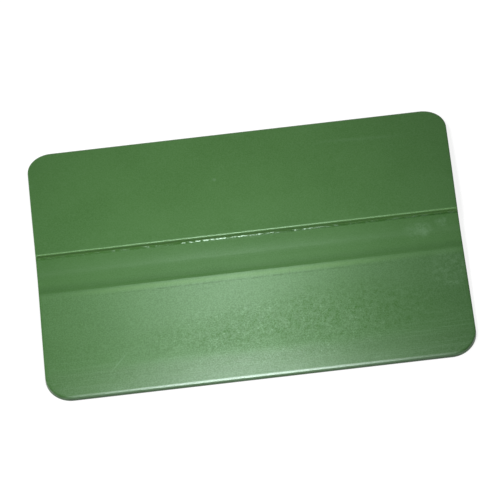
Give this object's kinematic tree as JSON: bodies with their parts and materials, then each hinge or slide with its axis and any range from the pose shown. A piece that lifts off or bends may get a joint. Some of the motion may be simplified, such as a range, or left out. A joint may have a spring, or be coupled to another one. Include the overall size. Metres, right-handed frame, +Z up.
{
  "type": "squeegee applicator",
  "caption": "Rectangular moulded plastic hand card with a thick handle half, a step down to a finger groove and a thin bevelled blade edge, for pressing film flat.",
  "frame": {"origin": "on the flat back, under the middle of the card", "axes": "+X along the blade edge, -Y out through the blade edge, +Y towards the handle, +Z up through the thickness, out of the stepped face"},
  "size_m": [0.1016, 0.0698, 0.0046],
  "materials": {
    "green_plastic": "satin moulded plastic, finely scuffed by use"
  },
  "bodies": {
    "root": {"squeegee_card": "green_plastic"}
  },
  "joints": []
}
